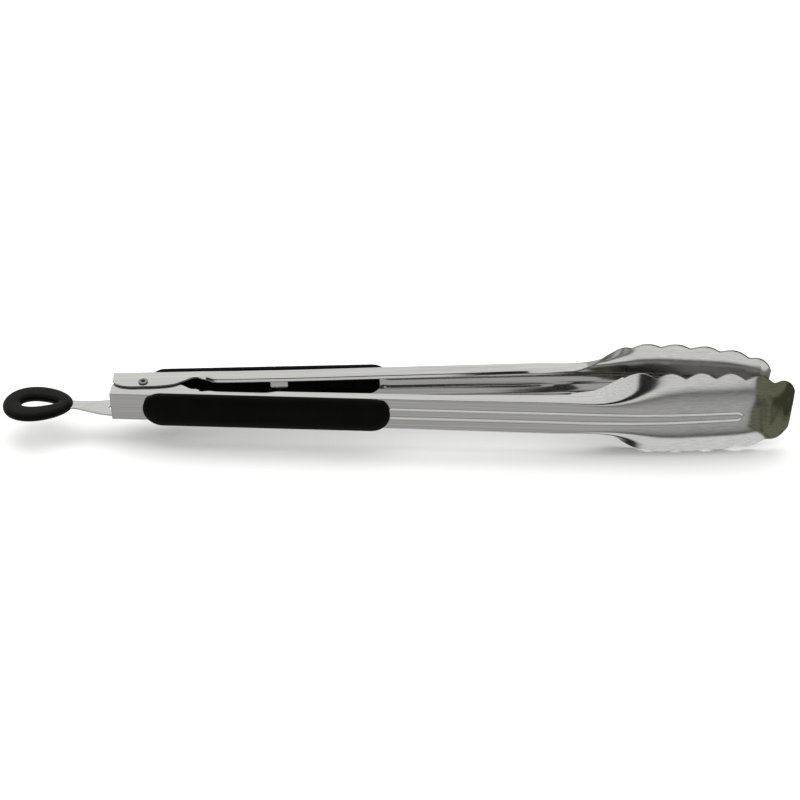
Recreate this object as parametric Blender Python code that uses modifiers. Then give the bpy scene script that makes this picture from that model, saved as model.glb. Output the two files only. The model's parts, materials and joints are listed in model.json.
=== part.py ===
"""Spring loaded kitchen tongs, lying on their side. Metres, +Z up.

+X runs from the rivet to the scalloped heads, +Z is the rivet's axis.
The outer arm is on the +Y side and the inner arm is on the -Y side.
"""
import math

import bmesh
import bpy
import numpy as np
from mathutils import Matrix, Vector

MM = 0.001
PIVOT = (-150.63 * MM, 0.0, 28.0 * MM)

# Arms
SHEET = 0.9 * MM
TIP_X = 383.0 * MM
BACK_Y = 11.0 * MM
REST_ANGLE = math.radians(2.4)
OUTER_TAIL_HALF = 11.0 * MM
INNER_TAIL_HALF = 9.7 * MM
JOG_START = 72.0 * MM
JOG_END = 82.0 * MM
SCALLOPS = 6
SCALLOP_PITCH = 17.7 * MM
FIRST_SCALLOP_X = 289.8 * MM
HEAD_OFFSET = 4.9 * MM
SCALLOP_DEPTH = 3.6 * MM
RIB_DEPTH = 0.9 * MM
RIB_START = 142.6 * MM
RIB_END = 353.0 * MM
RIB_RAMP = 7.0 * MM
RIB_WALL = 2.9 * MM
SECTION_STEP = 0.25 * MM
RIB_MARKS = (0.0, 1.7 * MM, 3.15 * MM, 4.6 * MM)
FLAT_END = 5.2 * MM
LIP_ANGLE = math.radians(54.0)
LIP_START = 32.0 * MM
LIP_END = 262.0 * MM
LIP_RAMP = 6.0 * MM
LIP_FADE = 30.0 * MM
LIP_FROM = 3.2 * MM
LIP_BEND = 1.4 * MM
BEND_BACK = 2.6 * MM
HEAD_START = 180.0 * MM
HEAD_FULL = 262.0 * MM
TAIL_STATIONS = (-18.5, -17.6, -15.5, -12, -6, 0, 5, 12.6, 18, 23.8, 30.2, 35, 38, 42, 50, 70,
                 76, 82, 110, 142.6, 146, 150, 156, 160, 180, 206, 232, 248, 256, 262)
TIP_STATIONS = (8.5, 6.5, 4.5, 2.7, 1.2, 0.0)
TIP_ZONE = 9.5 * MM

# Rivet and what it carries
RIVET_R = 1.9 * MM
RIVET_HEAD_R = 2.9 * MM
RIVET_HEAD_H = 0.9 * MM
RIVET_HOLLOW_R = 1.2 * MM
RIVET_HOLLOW_DEPTH = 4.0 * MM
RIVET_SOFT = 0.35 * MM
RIVET_FOOT = 0.6 * MM
EAR_GAP = 0.15 * MM
EAR_HOLE_R = 2.05 * MM
SLEEVE_IN_R = 2.1 * MM
SLEEVE_OUT_R = 2.9 * MM
SLEEVE_LOW_Z = -6.3 * MM
SLEEVE_TOP_Z = 8.5 * MM
WASHER_LOW_Z = -7.2 * MM
WASHER_THICK = 0.6 * MM
WASHER_OUT_R = 5.4 * MM

# Spring
WIRE_R = 0.7 * MM
COIL_R = 4.0 * MM
COIL_LOW_Z = -5.5 * MM
COIL_TOP_Z = 7.4 * MM
COIL_TURNS = 6
COIL_STEPS = 18
LEG_X = 17.0 * MM
LEG_Y = 9.6 * MM

# Lock plate
PLATE_THICK = 1.0 * MM
PLATE_Z = -8.0 * MM
PLATE_IN_X = 8.6 * MM
PLATE_SHOULDER_X = -18.2 * MM
PLATE_SHOULDER_HALF = 8.5 * MM
PLATE_NECK_X = -40.6 * MM
PLATE_NECK_HALF = 3.9 * MM
PLATE_OUT_X = -50.5 * MM
PLATE_BEND_X = -27.5 * MM
PLATE_SLOPE = 0.13
SLOT_HALF = 2.2 * MM
SLOT_IN_X = 2.1 * MM
SLOT_OUT_X = -19.9 * MM
PLATE_SOFT = 2.5 * MM
PLATE_STRAIGHT = 3.0 * MM

# Pull loop
LOOP_MID_X = -65.0 * MM
LOOP_Z = -5.4 * MM
LOOP_HALF_LENGTH = 21.0 * MM
LOOP_HALF_WIDTH = 15.8 * MM
LOOP_TAPER = 0.16
LOOP_THICK = 5.4 * MM
LOOP_HOLE_MID_X = -64.0 * MM
LOOP_HOLE_HALF_LENGTH = 11.3 * MM
LOOP_HOLE_HALF_WIDTH = 4.4 * MM
LOOP_HOLE_TAPER = 0.45
LOOP_ROUND = 2.3 * MM
LOOP_STEPS = 44
LOOP_ROUND_STEPS = 4
POCKET_END = 12.0 * MM

# Grips
GRIP_START = 1.0 * MM
GRIP_END = 148.4 * MM
GRIP_HALF = 11.2 * MM
GRIP_PULL = 1.6
LUG_XS = (46.0 * MM, 116.0 * MM)
LUG_HALF_LENGTH = 9.0 * MM
LUG_HALF_WIDTH = 3.0 * MM
LINER_START = 21.0 * MM
LINER_END = 142.0 * MM
LINER_HALF = 6.9 * MM
WINDOW_X = 80.5 * MM
WINDOW_R = 6.1 * MM
GAP = 0.3 * MM
GRIP_DOME = ((0.0, 0.0), (1.4, 0.0), (2.3, 0.3), (3.2, 1.0), (3.9, 2.3), (4.4, 4.5), (4.6, 7.6))
LINER_DOME = ((0.0, 0.0), (1.3, 0.0), (1.8, 0.5))
LUG_IN = 1.5 * MM
LUG_OUT = 1.2 * MM
CUT_NEAR = 5.0 * MM
CUT_FAR = 16.0 * MM

# Section tables along the arm: x in mm, then the value in mm or degrees
EDGE_ANGLE = ((-18.5, 90), (32, 90), (46, 102), (170, 102), (232, 92), (262, 86), (274, 68),
              (284, 45), (294, 31), (306, 24), (350, 21), (370, 18), (383, 14))
BEND_FROM = ((-18.5, 0.9), (35, 0.9), (60, 0.5), (240, 0.5), (262, -1.0), (280, -3.0), (296, -4.6),
             (383, -5.5))
BEND_LENGTH = ((-18.5, 2.7), (35, 2.7), (60, 3.2), (240, 3.2), (262, 5.5), (280, 12), (296, 18),
               (320, 21), (350, 20), (383, 14))
EDGE_REACH = ((-18.5, 19.2), (-17.6, 21.0), (-15.5, 23.0), (-12, 24.6), (-6, 25.6), (5, 25.6),
              (12.6, 25.1), (18, 24.0), (23.8, 20.9), (30.2, 17.4), (35, 17.8), (42, 20.0), (180, 20.0),
              (240, 20.4), (258, 20.9), (268, 22.4), (277, 25.6), (285, 28.3), (294, 28.9),
              (320, 28.9), (340, 28.1), (356, 26.1), (368, 23.6), (375, 21.2), (379, 18.7),
              (381.6, 16.0), (383, 12.6))
HALF_WIDTH_GAIN = ((-18.5, 0), (82, 0.1), (150, 0.6), (262, 1.1), (383, 1.1))
BACK_LINE = ((-18.5, 11.0), (262, 11.0), (284, 10.6), (300, 9.8), (314, 8.7), (328, 7.2),
             (342, 5.6), (357, 3.6), (368, 1.4), (377, -1.5), (383, -4.4))
RIB_HALF = ((150, 4.6), (262, 4.6), (355, 3.9))

STEEL_COLOR = (0.62, 0.61, 0.58, 1.0)
RUBBER_COLOR = (0.012, 0.012, 0.012, 1.0)
PLASTIC_COLOR = (0.010, 0.010, 0.010, 1.0)
SPRING_COLOR = (0.45, 0.45, 0.44, 1.0)
NYLON_COLOR = (0.75, 0.74, 0.70, 1.0)


def clearScene():
    for item in list(bpy.data.objects):
        bpy.data.objects.remove(item, do_unlink=True)


def makeCollection(name):
    made = bpy.data.collections.new(name)
    bpy.context.scene.collection.children.link(made)
    return made


def makeMaterial(name, color, rough, metal):
    made = bpy.data.materials.new(name)
    made.use_nodes = True
    shader = made.node_tree.nodes["Principled BSDF"]
    shader.inputs["Base Color"].default_value = color
    shader.inputs["Roughness"].default_value = rough
    shader.inputs["Metallic"].default_value = metal
    made.diffuse_color = color
    return made


def table(rows, x):
    xs = [row[0] * MM for row in rows]
    values = [row[1] for row in rows]
    return float(np.interp(x, xs, values))


def smooth(t):
    t = min(max(t, 0.0), 1.0)
    return t * t * (3.0 - 2.0 * t)


def makeObject(name, mesh, collection, material):
    item = bpy.data.objects.new(name, mesh)
    collection.objects.link(item)
    item.data.materials.append(material)
    return item


def meshFrom(name, verts, faces):
    mesh = bpy.data.meshes.new(name)
    mesh.from_pydata([tuple(v) for v in verts], [], faces)
    mesh.update()
    return mesh


def applyModifiers(item):
    bpy.context.view_layer.update()
    graph = bpy.context.evaluated_depsgraph_get()
    done = bpy.data.meshes.new_from_object(item.evaluated_get(graph))
    old = item.data
    item.modifiers.clear()
    item.data = done
    bpy.data.meshes.remove(old)


def cut(item, cutter):
    step = item.modifiers.new("cut_" + cutter.name, "BOOLEAN")
    step.operation = "DIFFERENCE"
    step.solver = "EXACT"
    step.object = cutter


def boxCutter(name, low, high, tools):
    corners = [(x, y, z) for x in (low[0], high[0]) for y in (low[1], high[1])
               for z in (low[2], high[2])]
    faces = [(0, 1, 3, 2), (4, 6, 7, 5), (0, 4, 5, 1), (2, 3, 7, 6), (0, 2, 6, 4), (1, 5, 7, 3)]
    item = bpy.data.objects.new(name, meshFrom(name, corners, faces))
    tools.objects.link(item)
    item.display_type = "WIRE"
    item.hide_render = True
    return item


def prismCutter(name, radius, sides, low, high, matrix, tools):
    mesh = bpy.data.meshes.new(name)
    shape = bmesh.new()
    bmesh.ops.create_cone(shape, cap_ends=True, segments=sides, radius1=radius, radius2=radius,
                          depth=high - low)
    bmesh.ops.translate(shape, verts=shape.verts, vec=(0, 0, (low + high) / 2))
    bmesh.ops.transform(shape, verts=shape.verts, matrix=matrix)
    shape.to_mesh(mesh)
    shape.free()
    item = bpy.data.objects.new(name, mesh)
    tools.objects.link(item)
    item.display_type = "WIRE"
    item.hide_render = True
    return item


# Arms: one sheet lofted through sections that bend from a channel to a shallow spoon

def armStations(headShift):
    stations = [x * MM for x in TAIL_STATIONS]
    step = SCALLOP_PITCH / 8
    x = FIRST_SCALLOP_X + headShift - 16 * step
    while x < TIP_X + headShift - TIP_ZONE:
        if x > stations[-1] + step / 2:
            stations.append(x)
        x += step
    for back in TIP_STATIONS:
        stations.append(TIP_X + headShift - back * MM)
    return stations


def headX(x, headShift):
    return x - headShift * smooth((x - HEAD_START) / (HEAD_FULL - HEAD_START))


def scallopTrim(x):
    start = FIRST_SCALLOP_X - SCALLOP_PITCH / 2
    end = FIRST_SCALLOP_X + (SCALLOPS - 0.8) * SCALLOP_PITCH
    if x < start or x > end:
        return 0.0
    wave = math.cos(math.pi * (x - FIRST_SCALLOP_X) / SCALLOP_PITCH)
    crest = math.sqrt((wave * wave + 0.02) / 1.02)
    fade = smooth((x - start) / SCALLOP_PITCH)
    return SCALLOP_DEPTH * (1.0 - crest) * (0.35 + 0.65 * fade)


def halfWidth(x, tailHalf):
    shared = OUTER_TAIL_HALF - 0.1 * MM
    base = tailHalf + (shared - tailHalf) * smooth((x - JOG_START) / (JOG_END - JOG_START))
    return base + table(HALF_WIDTH_GAIN, x) * MM


def ribDrop(x, along):
    half = table(RIB_HALF, x) * MM
    end = RIB_END
    if x < RIB_START or x > end:
        return 0.0
    near = min(1.0, (x - RIB_START) / RIB_RAMP)
    room = math.sqrt(max(0.0, 1.0 - max(0.0, (x - (end - half)) / half) ** 2))
    side = smooth((half * room - along) / RIB_WALL)
    return RIB_DEPTH * side * smooth(near)


def sectionReaches(start, stop, reach):
    first = max(start, FLAT_END)
    marks = list(RIB_MARKS) + [first]
    last = min(stop, reach - LIP_FROM)
    for share in (0.25, 0.5, 0.75, 1.0):
        marks.append(first + (last - first) * share)
    for share in (0.33, 0.67, 1.0):
        marks.append(last + (reach - last) * share)
    return marks


def lipTurn(x):
    return LIP_ANGLE * smooth((x - LIP_START) / LIP_RAMP) * smooth((LIP_END - x) / LIP_FADE)


def armSection(place, tailHalf, headShift):
    x = headX(place, headShift)
    wide = halfWidth(x, tailHalf)
    edge = math.radians(table(EDGE_ANGLE, x))
    length = table(BEND_LENGTH, x) * MM
    start = wide - BEND_BACK + table(BEND_FROM, x) * MM
    stop = start + length
    reach = table(EDGE_REACH, x) * MM + (wide - OUTER_TAIL_HALF) - scallopTrim(x)
    back = table(BACK_LINE, x) * MM
    marks = sectionReaches(start, stop, reach)
    count = int(reach / SECTION_STEP) + 2
    fine = np.linspace(0.0, reach, count)
    lip = lipTurn(x)
    lipFrom = reach - LIP_FROM
    turn = np.array([edge * smooth((s - start) / (stop - start))
                     + lip * smooth((s - lipFrom) / LIP_BEND) for s in fine])
    middle = (turn[1:] + turn[:-1]) / 2
    gap = fine[1] - fine[0]
    zs = np.concatenate(([0.0], np.cumsum(np.cos(middle)) * gap))
    ys = np.concatenate(([0.0], np.cumsum(np.sin(middle)) * gap))
    points = []
    for mark in marks:
        z = float(np.interp(mark, fine, zs))
        y = back - float(np.interp(mark, fine, ys)) - ribDrop(x, mark)
        points.append((y, z))
    return points


def armSheet(name, side, tailHalf, headShift):
    stations = armStations(headShift)
    verts = []
    for x in stations:
        half = armSection(x, tailHalf, headShift)
        for y, z in reversed(half[1:]):
            verts.append((x, side * y, -z))
        for y, z in half:
            verts.append((x, side * y, z))
    wide = len(verts) // len(stations)
    faces = []
    for i in range(len(stations) - 1):
        for j in range(wide - 1):
            a = i * wide + j
            quad = (a, a + 1, a + wide + 1, a + wide)
            faces.append(quad if side > 0 else tuple(reversed(quad)))
    return meshFrom(name, verts, faces)


def makeArm(name, side, tailHalf, parts, tools, material):
    sheet = armSheet(name, side, tailHalf, -side * HEAD_OFFSET)
    item = makeObject(name, sheet, parts, material)
    wall = item.modifiers.new("sheet", "SOLIDIFY")
    wall.thickness = SHEET
    wall.offset = -1.0
    wall.use_even_offset = True
    hole = prismCutter(name + "_rivet_hole", EAR_HOLE_R, 24, -20 * MM, 20 * MM,
                       Matrix.Identity(4), tools)
    cut(item, hole)
    for number, x in enumerate(LUG_XS):
        low = (x - LUG_HALF_LENGTH - GAP, side * CUT_NEAR, -LUG_HALF_WIDTH - GAP)
        high = (x + LUG_HALF_LENGTH + GAP, side * CUT_FAR, LUG_HALF_WIDTH + GAP)
        slot = boxCutter(f"{name}_slot_{number}", lowest(low, high), highest(low, high), tools)
        cut(item, slot)
    applyModifiers(item)
    return item


def lowest(a, b):
    return tuple(min(p, q) for p, q in zip(a, b))


def highest(a, b):
    return tuple(max(p, q) for p, q in zip(a, b))


# Grips: a domed pad with two lugs, and a flat lining with a window

def stadium(start, end, half, steps):
    points = []
    for k in range(steps + 1):
        angle = math.pi / 2 + math.pi * k / steps
        points.append((start + half + half * math.cos(angle), half * math.sin(angle)))
    for k in range(steps + 1):
        angle = -math.pi / 2 + math.pi * k / steps
        points.append((end - half + half * math.cos(angle), half * math.sin(angle)))
    return points


def ringSolid(name, rings):
    wide = len(rings[0])
    verts = [point for ring in rings for point in ring]
    faces = [tuple(range(wide))[::-1]]
    for i in range(len(rings) - 1):
        for j in range(wide):
            a = i * wide + j
            b = i * wide + (j + 1) % wide
            faces.append((a, b, b + wide, a + wide))
    top = (len(rings) - 1) * wide
    faces.append(tuple(range(top, top + wide)))
    mesh = meshFrom(name, verts, faces)
    shape = bmesh.new()
    shape.from_mesh(mesh)
    bmesh.ops.recalc_face_normals(shape, faces=shape.faces)
    shape.to_mesh(mesh)
    shape.free()
    return mesh


def makeGrip(name, side, parts, tools, material):
    base = BACK_Y + GAP
    rings = []
    for height, inset in GRIP_DOME:
        pull = inset * GRIP_PULL * MM
        ring = stadium(GRIP_START + pull, GRIP_END - pull, GRIP_HALF - inset * MM, 10)
        rings.append([(x, side * (base + height * MM), z) for x, z in ring])
    item = makeObject(name, ringSolid(name, rings), parts, material)
    for number, x in enumerate(LUG_XS):
        low = (x - LUG_HALF_LENGTH, side * (BACK_Y - SHEET - LUG_IN), -LUG_HALF_WIDTH)
        high = (x + LUG_HALF_LENGTH, side * (base + LUG_OUT), LUG_HALF_WIDTH)
        lug = boxCutter(f"{name}_lug_{number}", lowest(low, high), highest(low, high), tools)
        join = item.modifiers.new(f"lug_{number}", "BOOLEAN")
        join.operation = "UNION"
        join.solver = "EXACT"
        join.object = lug
    applyModifiers(item)
    return item


def makeLiner(name, side, parts, tools, material):
    top = BACK_Y - SHEET - GAP
    rings = []
    for depth, inset in LINER_DOME:
        ring = stadium(LINER_START + inset * MM, LINER_END - inset * MM, LINER_HALF - inset * MM, 8)
        rings.append([(x, side * (top - depth * MM), z) for x, z in ring])
    item = makeObject(name, ringSolid(name, rings), parts, material)
    for number, x in enumerate(LUG_XS):
        low = (x - LUG_HALF_LENGTH - GAP, side * CUT_NEAR, -LUG_HALF_WIDTH - GAP)
        high = (x + LUG_HALF_LENGTH + GAP, side * CUT_FAR, LUG_HALF_WIDTH + GAP)
        pocket = boxCutter(f"{name}_pocket_{number}", lowest(low, high), highest(low, high), tools)
        cut(item, pocket)
    turn = Matrix.Translation((WINDOW_X, 0, 0)) @ Matrix.Rotation(math.radians(-90), 4, "X")
    reach = sorted((side * CUT_NEAR, side * CUT_FAR))
    window = prismCutter(name + "_window", WINDOW_R, 6, reach[0], reach[1], turn, tools)
    cut(item, window)
    applyModifiers(item)
    return item


# Rivet, sleeve, washer: lathed profiles

def lathe(name, profile, steps, parts, material):
    mesh = bpy.data.meshes.new(name)
    count = len(profile)
    closed = profile[0][0] > 0.0
    edges = [(k, k + 1) for k in range(count - 1)]
    if closed:
        edges.append((count - 1, 0))
    mesh.from_pydata([(r, 0.0, z) for r, z in profile], edges, [])
    item = makeObject(name, mesh, parts, material)
    turn = item.modifiers.new("lathe", "SCREW")
    turn.axis = "Z"
    turn.angle = 2.0 * math.pi
    turn.screw_offset = 0.0
    turn.steps = steps
    turn.render_steps = steps
    turn.use_merge_vertices = True
    turn.merge_threshold = 0.00001
    applyModifiers(item)
    fixNormals(item)
    return item


def fixNormals(item):
    shape = bmesh.new()
    shape.from_mesh(item.data)
    bmesh.ops.remove_doubles(shape, verts=shape.verts, dist=0.000001)
    bmesh.ops.recalc_face_normals(shape, faces=shape.faces)
    shape.to_mesh(item.data)
    shape.free()


def makeRivet(parts, material):
    ear = OUTER_TAIL_HALF + EAR_GAP
    top = ear + RIVET_HEAD_H
    soft = RIVET_SOFT
    lip = RIVET_HOLLOW_R + soft
    profile = [
        (0.0, top - RIVET_HOLLOW_DEPTH),
        (RIVET_HOLLOW_R, top - RIVET_HOLLOW_DEPTH),
        (RIVET_HOLLOW_R, top - 0.5 * MM),
        (lip, top),
        (RIVET_HEAD_R - soft, top - 0.1 * MM),
        (RIVET_HEAD_R, top - soft - 0.1 * MM),
        (RIVET_HEAD_R, ear),
        (RIVET_R, ear),
        (RIVET_R, -ear),
        (RIVET_HEAD_R + RIVET_FOOT, -ear),
        (RIVET_HEAD_R + RIVET_FOOT, -ear - soft),
        (RIVET_HEAD_R - 0.2 * MM, -top),
        (0.0, -top - 0.1 * MM),
    ]
    return lathe("pivot_rivet", profile, 28, parts, material)


def makeSleeve(parts, material):
    profile = [(SLEEVE_IN_R, SLEEVE_TOP_Z), (SLEEVE_OUT_R, SLEEVE_TOP_Z),
               (SLEEVE_OUT_R, SLEEVE_LOW_Z), (SLEEVE_IN_R, SLEEVE_LOW_Z)]
    return lathe("spring_sleeve", profile, 24, parts, material)


def makeWasher(parts, material):
    top = WASHER_LOW_Z + WASHER_THICK
    profile = [(SLEEVE_IN_R, top), (WASHER_OUT_R, top),
               (WASHER_OUT_R, WASHER_LOW_Z), (SLEEVE_IN_R, WASHER_LOW_Z)]
    return lathe("thrust_washer", profile, 28, parts, material)


# Torsion spring: one wire, leg, coil, leg

def springPath():
    path = []
    low = Vector((LEG_X, -LEG_Y, COIL_LOW_Z))
    high = Vector((LEG_X, LEG_Y, COIL_TOP_Z))
    swing = math.atan2(LEG_Y, LEG_X)
    reach = math.hypot(LEG_X, LEG_Y)
    lead = math.acos(COIL_R / reach)
    startAngle = -swing - lead
    endAngle = swing + lead
    span = 2.0 * math.pi * COIL_TURNS + (endAngle - startAngle)
    count = int(COIL_TURNS * COIL_STEPS + 8)
    path.append(low)
    first = Vector((COIL_R * math.cos(startAngle), COIL_R * math.sin(startAngle), COIL_LOW_Z))
    path.append(low.lerp(first, 0.55))
    for k in range(count + 1):
        share = k / count
        angle = startAngle - span * share + 2.0 * (endAngle - startAngle) * share
        path.append(Vector((COIL_R * math.cos(angle), COIL_R * math.sin(angle),
                            COIL_LOW_Z + (COIL_TOP_Z - COIL_LOW_Z) * share)))
    last = path[-1]
    path.append(last.lerp(high, 0.45))
    path.append(high)
    return path


def makeSpring(parts, material):
    path = springPath()
    data = bpy.data.curves.new("torsion_spring", "CURVE")
    data.dimensions = "3D"
    data.bevel_depth = WIRE_R
    data.bevel_resolution = 2
    data.use_fill_caps = True
    data.twist_mode = "MINIMUM"
    line = data.splines.new("POLY")
    line.points.add(len(path) - 1)
    for point, place in zip(line.points, path):
        point.co = (place.x, place.y, place.z, 1.0)
    wire = bpy.data.objects.new("torsion_wire", data)
    parts.objects.link(wire)
    bpy.context.view_layer.update()
    graph = bpy.context.evaluated_depsgraph_get()
    mesh = bpy.data.meshes.new_from_object(wire.evaluated_get(graph))
    bpy.data.objects.remove(wire, do_unlink=True)
    mesh.name = "torsion_spring"
    mesh.materials.clear()
    item = makeObject("torsion_spring", mesh, parts, material)
    fixNormals(item)
    return item


# Lock plate: a flat wedge with a long slot

def wedgeHalf(x):
    share = (x - PLATE_NECK_X) / (PLATE_SHOULDER_X - PLATE_NECK_X)
    return PLATE_NECK_HALF + (PLATE_SHOULDER_HALF - PLATE_NECK_HALF) * share


def plateRise(x):
    return PLATE_SLOPE * max(0.0, PLATE_BEND_X - x)


def makePlate(parts, tools, material):
    low = PLATE_Z - PLATE_THICK / 2
    high = PLATE_Z + PLATE_THICK / 2
    soft = PLATE_SOFT
    wide = PLATE_SHOULDER_HALF
    stations = [
        (PLATE_OUT_X, PLATE_NECK_HALF * 0.8),
        (PLATE_NECK_X - PLATE_STRAIGHT, PLATE_NECK_HALF),
        (PLATE_NECK_X, PLATE_NECK_HALF),
        (PLATE_BEND_X, wedgeHalf(PLATE_BEND_X)),
        (PLATE_SHOULDER_X, wide),
        (PLATE_IN_X - soft, wide),
        (PLATE_IN_X - soft * 0.3, wide - soft * 0.3),
        (PLATE_IN_X, wide - soft),
    ]
    rings = []
    for x, half in stations:
        z = plateRise(x)
        rings.append([(x, -half, low + z), (x, half, low + z), (x, half, high + z),
                      (x, -half, high + z)])
    item = makeObject("lock_plate", ringSolid("lock_plate", rings), parts, material)
    slot = [(x, y) for x, y in stadium(SLOT_OUT_X - SLOT_HALF, SLOT_IN_X + SLOT_HALF, SLOT_HALF, 8)]
    rings = [[(x, y, z) for x, y in slot] for z in (low - PLATE_THICK, high + PLATE_THICK)]
    cutter = bpy.data.objects.new("plate_slot", ringSolid("plate_slot", rings))
    tools.objects.link(cutter)
    cutter.display_type = "WIRE"
    cutter.hide_render = True
    cut(item, cutter)
    applyModifiers(item)
    return item


# Pull loop: a teardrop ring with rounded edges and a pocket for the plate

def loopOutline(steps):
    points = []
    for k in range(steps):
        angle = 2.0 * math.pi * k / steps
        x = LOOP_MID_X + LOOP_HALF_LENGTH * math.cos(angle)
        y = LOOP_HALF_WIDTH * math.sin(angle) * (1.0 - LOOP_TAPER * math.cos(angle))
        points.append((x, y))
    return points


def loopHole(steps):
    points = []
    for k in range(steps):
        angle = 2.0 * math.pi * k / steps
        x = LOOP_HOLE_MID_X + LOOP_HOLE_HALF_LENGTH * math.cos(angle)
        y = LOOP_HOLE_HALF_WIDTH * math.sin(angle) * (1.0 - LOOP_HOLE_TAPER * math.cos(angle))
        points.append((x, y))
    return points


def makeLoop(parts, tools, material):
    outer = loopOutline(LOOP_STEPS)
    inner = loopHole(LOOP_STEPS)
    half = LOOP_THICK / 2
    section = []
    for k in range(LOOP_ROUND_STEPS + 1):
        angle = math.pi / 2 * k / LOOP_ROUND_STEPS
        section.append((LOOP_ROUND * (1 - math.sin(angle)), half - LOOP_ROUND * (1 - math.cos(angle))))
    levels = section + [(inset, -z) for inset, z in reversed(section)]
    count = len(outer)
    verts = []
    for inset, z in levels:
        verts += [(x, y, LOOP_Z + z) for x, y in insetRing(outer, inner, inset)]
    for inset, z in reversed(levels):
        verts += [(x, y, LOOP_Z + z) for x, y in insetRing(inner, outer, inset)]
    total = len(levels) * 2
    faces = []
    for i in range(total):
        nextRing = (i + 1) % total
        for j in range(count):
            a = i * count + j
            b = i * count + (j + 1) % count
            c = nextRing * count + (j + 1) % count
            d = nextRing * count + j
            faces.append((a, b, c, d))
    item = makeObject("pull_loop", meshFrom("pull_loop", verts, faces), parts, material)
    fixNormals(item)
    rings = []
    room = PLATE_THICK / 2 + GAP
    wide = PLATE_NECK_HALF + GAP
    for x in (PLATE_OUT_X - GAP, PLATE_NECK_X + POCKET_END):
        z = PLATE_Z + plateRise(x)
        rings.append([(x, -wide, z - room), (x, wide, z - room), (x, wide, z + room),
                      (x, -wide, z + room)])
    pocket = bpy.data.objects.new("loop_pocket", ringSolid("loop_pocket", rings))
    tools.objects.link(pocket)
    pocket.display_type = "WIRE"
    pocket.hide_render = True
    cut(item, pocket)
    applyModifiers(item)
    return item


def insetRing(ring, other, inset):
    moved = []
    for (x, y), (ox, oy) in zip(ring, other):
        away = Vector((ox - x, oy - y))
        if away.length > 0:
            away.normalize()
        moved.append((x + away.x * inset, y + away.y * inset))
    return moved


def shadeSmooth(item, degrees):
    for face in item.data.polygons:
        face.use_smooth = True
    sharp = math.radians(degrees)
    item.data.set_sharp_from_angle(angle=sharp)


def build():
    clearScene()
    parts = makeCollection("kitchen_tongs")
    tools = makeCollection("cutters")
    outerSteel = makeMaterial("outer_arm_steel", STEEL_COLOR, 0.22, 1.0)
    innerSteel = makeMaterial("inner_arm_steel", STEEL_COLOR, 0.22, 1.0)
    plateSteel = makeMaterial("lock_plate_steel", STEEL_COLOR, 0.30, 1.0)
    rivetSteel = makeMaterial("rivet_steel", STEEL_COLOR, 0.28, 1.0)
    springSteel = makeMaterial("spring_wire", SPRING_COLOR, 0.35, 1.0)
    sleeveNylon = makeMaterial("sleeve_nylon", NYLON_COLOR, 0.5, 0.0)
    washerNylon = makeMaterial("washer_nylon", NYLON_COLOR, 0.5, 0.0)
    outerRubber = makeMaterial("outer_grip_rubber", RUBBER_COLOR, 0.55, 0.0)
    innerRubber = makeMaterial("inner_grip_rubber", RUBBER_COLOR, 0.55, 0.0)
    outerLining = makeMaterial("outer_liner_rubber", RUBBER_COLOR, 0.6, 0.0)
    innerLining = makeMaterial("inner_liner_rubber", RUBBER_COLOR, 0.6, 0.0)
    loopPlastic = makeMaterial("loop_plastic", PLASTIC_COLOR, 0.35, 0.0)

    outer = makeArm("outer_arm", 1, OUTER_TAIL_HALF, parts, tools, outerSteel)
    inner = makeArm("inner_arm", -1, INNER_TAIL_HALF, parts, tools, innerSteel)
    outerSet = [outer, makeGrip("outer_grip", 1, parts, tools, outerRubber),
                makeLiner("outer_liner", 1, parts, tools, outerLining)]
    innerSet = [inner, makeGrip("inner_grip", -1, parts, tools, innerRubber),
                makeLiner("inner_liner", -1, parts, tools, innerLining)]
    for item in outerSet:
        item.rotation_euler = (0.0, 0.0, REST_ANGLE)
    for item in innerSet:
        item.rotation_euler = (0.0, 0.0, -REST_ANGLE)
    onRivet = [makeRivet(parts, rivetSteel), makeSleeve(parts, sleeveNylon),
              makeWasher(parts, washerNylon), makeSpring(parts, springSteel)]
    flat = [makePlate(parts, tools, plateSteel), makeLoop(parts, tools, loopPlastic)]
    for item in outerSet + innerSet + onRivet + flat:
        item.location = PIVOT
        shadeSmooth(item, 40)
    tools.hide_render = True


build()
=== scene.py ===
import json
import math

import bmesh
import bpy
import numpy as np
from mathutils import Matrix, Vector


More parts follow.
